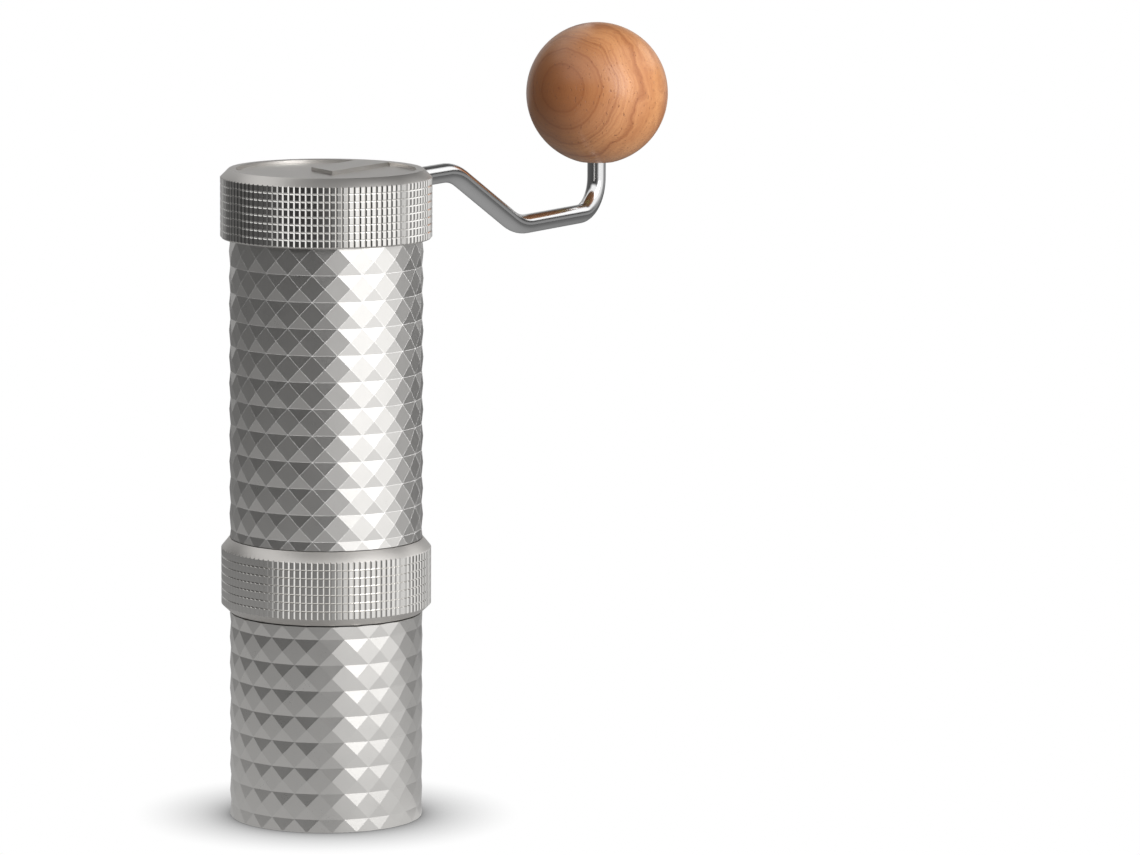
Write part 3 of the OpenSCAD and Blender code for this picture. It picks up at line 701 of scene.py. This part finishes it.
def beech(name):
    """Oiled beech whose growth rings circle an axis that comes out on the left of the ball."""
    material, n = new_material(name)
    place = n.vector("SUBTRACT", n.add("TexCoord").outputs["Object"], MM * BALL_CENTRE)
    turn, lift = radians(-35), radians(8)
    ring_width, waver = 6.6 * MM, 4.5 * MM
    pith = (cos(lift) * (cos(turn) * to_camera + sin(turn) * camera_right) + sin(lift) * up).normalized()
    along = n.vector("DOT_PRODUCT", place, pith, out=1)
    shadow = n.add("VectorMath", {0: pith, "Scale": along}, operation="SCALE").outputs[0]
    across = n.vector("SUBTRACT", place, shadow)
    drift = n.noise(place, 75, 3, 0.5)
    radius = n.vector("LENGTH", across, out=1)
    radius = n.math("ADD", radius, n.math("MULTIPLY", n.math("SUBTRACT", drift, 0.5), waver))
    # Growth rings: each fades up slowly and ends in a thin darker line
    rings = n.math("FRACT", n.math("POWER", n.math("DIVIDE", radius, ring_width), 1.35))
    late = n.ramp(rings, [(0.0, 0.75), (0.05, 0.15), (0.45, 0.0), (0.86, 0.28), (0.97, 0.95), (1.0, 0.75)])
    # Fine grain, drawn out round the rings
    fibre = n.noise(n.add("CombineXYZ", {0: n.math("MULTIPLY", radius, 2600.0),
                                         1: n.math("MULTIPLY", along, 260.0),
                                         2: n.noise(place, 160, 2)}).outputs[0], 1.0, 4, 0.65)
    # Short dark flecks, which are also slightly sunken
    drawn_out = n.add("Mapping", {"Vector": place, "Rotation": (0.25, 0.1, 0),
                                  "Scale": (2300, 2300, 620)}).outputs[0]
    fleck = n.ramp(n.noise(drawn_out, 1.0, 1, 0.4), [(0.0, 0.0), (0.68, 0.0), (0.74, 1.0)])
    # The colours, laid one over another: ground, end grain, fibres, ring lines and flecks
    blush = n.noise(place, 45, 2, 0.5)
    wood = n.mix(blush, (0.52, 0.255, 0.11, 1), (0.41, 0.182, 0.073, 1))
    end_grain = n.ramp(n.math("DIVIDE", along, MM * BALL_R), [(0.0, 0.0), (0.55, 0.0), (1.0, 1.0)])
    wood = n.mix(n.math("MULTIPLY", end_grain, 0.75), wood, (0.24, 0.08, 0.028, 1))
    wood = n.mix(n.ramp(fibre, [(0.35, 0.0), (0.7, 0.7)]), wood, (0.30, 0.11, 0.042, 1))
    wood = n.mix(n.math("MULTIPLY", late, 0.6), wood, (0.22, 0.068, 0.022, 1))
    wood = n.mix(n.math("MULTIPLY", fleck, 0.7), wood, (0.17, 0.06, 0.025, 1))
    rough = n.spread(fibre, 0.22, 0.36)
    normal = n.bump(fibre, 0.02 * MM, normal=n.bump(n.math("SUBTRACT", 1.0, fleck), 0.05 * MM))
    n.surface(Base_Color=wood, Roughness=rough, Normal=normal)
    return material


# ---------------------------------------------------------------- stage, lights and camera

def side(degrees_right):
    """Place on a turn_right ramp of an angle to the right of the camera."""
    return 0.5 + degrees_right / 360


def turn_right(n, way):
    """Angle of a direction round Z, as 0 to 1, with the camera's side at 0.5."""
    ahead = n.vector("DOT_PRODUCT", way, to_camera, out=1)
    right = n.vector("DOT_PRODUCT", way, camera_right, out=1)
    return n.math("ADD", n.math("DIVIDE", n.math("ARCTAN2", right, ahead), 2 * pi), 0.5)


def pale_floor():
    """Glowing white floor with a painted contact shadow, from ambient occlusion, where the object meets
    it. To the metal it is a dim floor, with painted light on the side of the white box."""
    top, bottom = -0.05, -2
    vertices, faces = lathe([[(0, top)], [(FLOOR_R, top)], [(FLOOR_R, bottom)], [(0, bottom)]], 96)
    floor = make_mesh("floor", vertices, faces)
    material, n = new_material("pale_floor")
    place = n.add("TexCoord").outputs["Object"]
    away = n.math("DIVIDE", n.vector("LENGTH", place, out=1), FLOOR_R * MM)
    # Painted light: the floor glows, dim far out and brighter towards the white box, for the metal to
    # reflect
    dim = n.ramp(away, [(0.0, 0.44), (0.12, 0.40), (0.24, 0.33), (0.38, 0.2), (0.6, 0.16), (1.0, 0.1)])
    bright = n.ramp(away, [(0.0, 0.62), (0.12, 0.72), (0.3, 0.95), (0.6, 1.25)])
    in_box = n.ramp(turn_right(n, place), [(0.0, 0.0), (side(4), 0.0), (side(28), 1.0),
                                           (side(82), 1.0), (side(108), 0.0)])
    painted_box_light = n.mix(in_box, dim, bright)
    seen = n.add("LightPath").outputs["Is Camera Ray"]
    # Painted contact shadow: white to the camera, darkened by ambient occlusion near the object
    near = n.add("AmbientOcclusion", {"Distance": 0.026}, samples=24).outputs["AO"]
    white_with_painted_shadow = n.ramp(near, [(0.0, 0.04), (0.5, 0.22), (0.78, 0.7), (1.0, 1.0)])
    n.add("OutputMaterial", {0: n.add("Emission", {0: n.mix(seen, painted_box_light, white_with_painted_shadow)}).outputs[0]})
    floor.data.materials.append(material)


def studio_world():
    """Soft white box on the right of the camera, dark card on its left, grey behind with a white
    strip, white above and a grey ceiling. The camera itself sees plain white."""
    world = bpy.data.worlds.new("studio")
    scene.world = world
    world.use_nodes = True
    n = Nodes(world.node_tree)
    way = n.add("TexCoord").outputs["Generated"]
    height = n.vector("DOT_PRODUCT", way, up, out=1)
    turn = turn_right(n, way)
    walls = n.ramp(turn, [(0.0, 0.5), (side(-152), 0.5), (side(-136), 0.13), (side(-100), 0.11),
                          (side(-60), 0.08), (side(-34), 0.03), (side(-12), 0.04), (side(10), 0.14),
                          (side(28), 1.12), (side(80), 1.12), (side(104), 0.28), (1.0, 0.46)])
    front = n.mix(n.ramp(height, [(0.30, 0.0), (0.46, 1.0)]), walls, (1.25, 1.25, 1.25, 1))
    left = n.mix(n.ramp(height, [(0.52, 0.0), (0.68, 1.0)]), walls, (1.0, 1.0, 1.0, 1))
    light = n.mix(n.ramp(turn, [(side(-80), 1.0), (side(-50), 0.0)]), front, left)
    behind = n.ramp(height, [(0.0, 0.42), (0.1, 0.55), (0.25, 0.55), (0.34, 0.14), (0.62, 0.07)])
    strip = n.ramp(height, [(0.0, 0.34), (0.1, 0.26), (0.15, 0.06), (0.25, 0.06), (0.30, 1.4),
                            (0.55, 1.4), (0.62, 0.07)])
    behind = n.mix(n.ramp(turn, [(side(138), 1.0), (side(148), 0.0)]), behind, strip)
    light = n.mix(n.ramp(turn, [(0.0, 1.0), (0.03, 0.0), (side(105), 0.0), (side(118), 1.0)]),
                  light, behind)
    light = n.mix(n.ramp(height, [(0.88, 0.0), (0.94, 1.0)]), light, (0.2, 0.2, 0.2, 1))
    seen = n.add("LightPath").outputs["Is Camera Ray"]
    light = n.mix(seen, light, (1.0, 1.0, 1.0, 1))
    background = n.add("Background", {0: light, 1: 1.0})
    n.add("OutputWorld", {0: background.outputs[0]})


def soft_light(name, turn_deg, lift_deg, distance, width, height, power):
    """Window-shaped area light, aimed at the object from an angle right of the camera."""
    data = bpy.data.lights.new(name, "AREA")
    data.shape = "RECTANGLE"
    data.size = width * MM
    data.size_y = height * MM
    data.energy = power
    light = bpy.data.objects.new(name, data)
    scene.collection.objects.link(light)
    turn, lift = radians(turn_deg), radians(lift_deg)
    way = cos(lift) * (cos(turn) * to_camera + sin(turn) * camera_right) + sin(lift) * up
    light.location = MM * (LIGHTS_AIM_Z * up + distance * way)
    light.rotation_euler = way.to_track_quat("Z", "Y").to_euler()
    return light


def place_camera():
    """Camera at the fitted place, rolled a little about its own line of sight."""
    data = bpy.data.cameras.new("camera")
    data.lens = LENS
    data.sensor_width = 36
    camera = bpy.data.objects.new("camera", data)
    scene.collection.objects.link(camera)
    spot = to_camera * CAMERA_DISTANCE + up * CAMERA_HEIGHT
    aim = camera_right * AIM_RIGHT + up * AIM_HEIGHT
    forward = (aim - spot).normalized()
    level_right = forward.cross(up).normalized()
    level_up = level_right.cross(forward)
    right = cos(CAMERA_ROLL) * level_right + sin(CAMERA_ROLL) * level_up
    above = cos(CAMERA_ROLL) * level_up - sin(CAMERA_ROLL) * level_right
    camera.matrix_world = Matrix.Translation(MM * spot) @ Matrix(
        (right, above, -forward)).transposed().to_4x4()
    scene.camera = camera
    scene.view_settings.view_transform = "Standard"


# ---------------------------------------------------------------- build

SHELL = (0.80, 0.785, 0.76)
shell_metal = blasted_metal("blasted_aluminium", SHELL, 0.24, 0.34)
# Lighter, less metallic finish of the facet edge bevels: a painted highlight line, not wear
edge_highlight_metal = blasted_metal("painted_edge_highlights", (0.95, 0.94, 0.92), 0.45, 0.55, metallic=0.25)
plain_metal = blasted_metal("turned_aluminium", (0.63, 0.61, 0.585), 0.32, 0.42, lines=0.003)
knurl_metal = blasted_metal("knurled_aluminium", SHELL, 0.08, 0.13, grain=0.002)
frame_metal = blasted_metal("frame_aluminium", (0.36, 0.36, 0.37), 0.28, 0.42)
rod_steel = polished_metal("polished_steel", (0.72, 0.72, 0.72), 0.12, 0.17, scratch=0.0006)
shaft_steel = polished_metal("ground_steel", (0.56, 0.56, 0.57), 0.16, 0.26)
bearing_steel = polished_metal("bearing_steel", (0.6, 0.6, 0.62), 0.08, 0.16)
dark_steel = polished_metal("blackened_steel", (0.12, 0.12, 0.13), 0.22, 0.36)
burr_steel = burr_metal("burr_steel")
brass = polished_metal("bushing_brass", (0.62, 0.45, 0.2), 0.2, 0.32)
seal = rubber("seal_rubber")
wood = beech("oiled_beech")

cup_piece(shell_metal, edge_highlight_metal)
tube_piece(shell_metal, edge_highlight_metal)
ring_piece(plain_metal, knurl_metal)
lid_piece(plain_metal, knurl_metal)
crank_piece(rod_steel)
ball_piece(wood)
outer_burr_piece(burr_steel)
core_burr_piece(burr_steel)
spring_piece(shaft_steel)


def both_bearings(*pieces):
    """Names of these pieces of the lower and of the upper bearing."""
    return [f"{place}_bearing_{piece}" for place in ("lower", "upper") for piece in pieces]


KEPT_NODES = {
    seal: ["cup_seal", "lid_seal"],
    frame_metal: ["lower_frame", "burr_carrier", "lower_bracket", "upper_bracket"],
    plain_metal: ["lid_hub"],
    bearing_steel: both_bearings("outer", "inner", "balls") + ["detent_balls", "guide_pins"],
    shaft_steel: both_bearings("shields") + ["drive_shaft", "burr_spacer", "burr_washer"],
    dark_steel: both_bearings("clip") + [
        "ring_circlip", "detent_springs", "burr_retaining_ring", "bracket_snap_ring",
        "shaft_clip", "burr_screw", "lid_screws", "arm_set_screw", "knob_clip"],
    brass: ["knob_bushing"],
}
# These have no edges to round
ROUND_NODES = both_bearings("balls") + ["cup_seal", "lid_seal", "detent_balls"]
for material, names in KEPT_NODES.items():
    for name in names:
        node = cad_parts[name]
        node.data.materials.clear()
        node.data.materials.append(material)
        if name not in ROUND_NODES:
            soften(node, HUB_EDGE if name == "lid_hub" else SMALL_EDGE)

pale_floor()
studio_world()
soft_light("key", 46, 30, 900, 480, 800, 3.2)
knob_fill = soft_light("knob_fill", 56, 15, 900, 500, 500, 7.5)
knob_fill.visible_glossy = False
place_camera()
